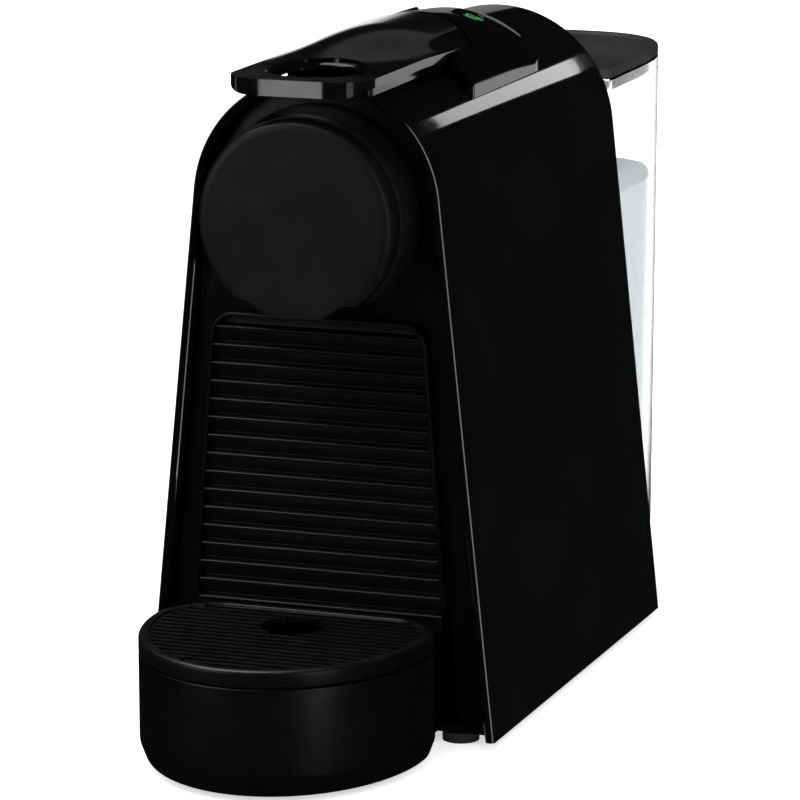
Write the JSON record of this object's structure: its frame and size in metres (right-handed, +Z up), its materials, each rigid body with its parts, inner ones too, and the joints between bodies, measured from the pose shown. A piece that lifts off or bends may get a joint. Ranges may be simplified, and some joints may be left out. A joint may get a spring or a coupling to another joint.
{
  "type": "pod coffee machine",
  "caption": "Compact black pod coffee machine: arched shell, round brewing head, lift-up lever, louvred bin front, round-fronted drip tray and a clear rear water tank.",
  "frame": {"origin": "bottom centre of the whole object's box, on the surface that its feet stand on", "axes": "+Z up, front faces -Y, +X to the right seen from the front; +Y runs from the tray to the tank"},
  "size_m": [0.11, 0.325, 0.205],
  "materials": {
    "gloss_black": "high gloss",
    "satin_black": "satin",
    "matte_black": "fine matte",
    "lid_grey": "satin",
    "clear": "clear moulded plastic",
    "rubber": "matte",
    "steel": "brushed",
    "aluminium": "cast",
    "white_plastic": "moulded",
    "copper": "enamelled winding",
    "board_green": "solder mask",
    "silicone": "translucent silicone"
  },
  "bodies": {
    "machine": {"outer_shell": "gloss_black", "spine_cover": "gloss_black", "front_frame": "satin_black", "rear_panel": "satin_black", "base_plate": "satin_black", "tank_dock": "satin_black", "foot_front_left": "rubber", "foot_front_right": "rubber", "foot_rear_left": "rubber", "foot_rear_right": "rubber", "foot_dock": "rubber", "base_screw_1": "steel", "base_screw_2": "steel", "cord_gland": "rubber", "head_drum": "matte_black", "head_cap": "matte_black", "coffee_outlet": "matte_black", "lever_shaft": "steel", "rocker_shaft": "steel", "brew_frame_left": "matte_black", "brew_frame_right": "matte_black", "brew_front_wall": "matte_black", "brew_rear_wall": "white_plastic", "pierce_plate": "steel", "injector_tube": "steel", "pod_guide": "matte_black", "control_board": "board_green", "switch_left": "matte_black", "switch_right": "matte_black", "pump_body": "white_plastic", "pump_coil": "copper", "pump_mount_front": "rubber", "pump_mount_rear": "rubber", "thermoblock": "aluminium", "flowmeter_housing": "white_plastic", "flowmeter_cover": "white_plastic", "tank_socket": "silicone", "suction_hose": "silicone", "pump_hose": "silicone", "pressure_hose": "silicone", "brew_hose": "silicone"},
    "lever": {"lever_plate": "gloss_black", "lever_arm_left": "matte_black", "lever_arm_right": "matte_black", "crank_pin": "steel"},
    "rocker": {"rocker_left": "steel", "rocker_right": "steel"},
    "cage": {"brew_cage": "white_plastic", "cage_pin": "steel"},
    "button_left": {"button_left": "gloss_black"},
    "button_right": {"button_right": "gloss_black"},
    "plunger": {"pump_plunger": "steel"},
    "impeller": {"impeller": "white_plastic"},
    "tray": {"drip_tray": "satin_black", "pod_bin": "matte_black", "bin_front": "satin_black"},
    "grid": {"drip_grid": "satin_black"},
    "tank": {"water_tank": "clear"},
    "lid": {"tank_lid": "lid_grey"},
    "valve": {"tank_valve": "silicone"}
  },
  "joints": [
    {"name": "lever_lift", "type": "hinge", "parent": "machine", "child": "lever", "pos_m": [0, -0.025, 0.19], "axis": [-1, 0, 0], "range_deg": [0, 78]},
    {"name": "rocker_turn", "type": "hinge", "parent": "machine", "child": "rocker", "pos_m": [0, -0.025, 0.171], "axis": [1, 0, 0], "range_deg": [0, 54.66]},
    {"name": "cage_slide", "type": "slide", "parent": "machine", "child": "cage", "axis": [0, 1, 0], "range_m": [0, 0.03304]},
    {"name": "button_left_press", "type": "slide", "parent": "machine", "child": "button_left", "axis": [0.3117, 0, -0.9502], "range_m": [0, 0.001], "stiffness_N_per_m": 900},
    {"name": "button_right_press", "type": "slide", "parent": "machine", "child": "button_right", "axis": [-0.3117, 0, -0.9502], "range_m": [0, 0.001], "stiffness_N_per_m": 900},
    {"name": "plunger_stroke", "type": "slide", "parent": "machine", "child": "plunger", "axis": [0, 1, 0], "range_m": [-0.003, 0.003], "stiffness_N_per_m": 600},
    {"name": "impeller_spin", "type": "hinge", "parent": "machine", "child": "impeller", "pos_m": [0, -0.009, 0.0134], "axis": [0, 0, 1], "continuous": true},
    {"name": "tray_slide", "type": "slide", "parent": "machine", "child": "tray", "axis": [0, -1, 0], "range_m": [0, 0.11]},
    {"name": "grid_lift", "type": "slide", "parent": "tray", "child": "grid", "axis": [0, 0, 1], "range_m": [0, 0.03]},
    {"name": "tank_lift", "type": "slide", "parent": "machine", "child": "tank", "axis": [0, 0, 1], "range_m": [0, 0.12]},
    {"name": "lid_lift", "type": "slide", "parent": "tank", "child": "lid", "axis": [0, 0, 1], "range_m": [0, 0.03]},
    {"name": "valve_close", "type": "slide", "parent": "tank", "child": "valve", "axis": [0, 0, -1], "range_m": [0, 0.0025]}
  ],
  "couplings": [
    {"joint": "rocker_turn", "follows": "lever_lift", "ratio": 0.69825},
    {"joint": "cage_slide", "follows": "lever_lift", "m_per_rad": 0.024194},
    {"joint": "valve_close", "follows": "tank_lift", "ratio": 0.020833}
  ]
}
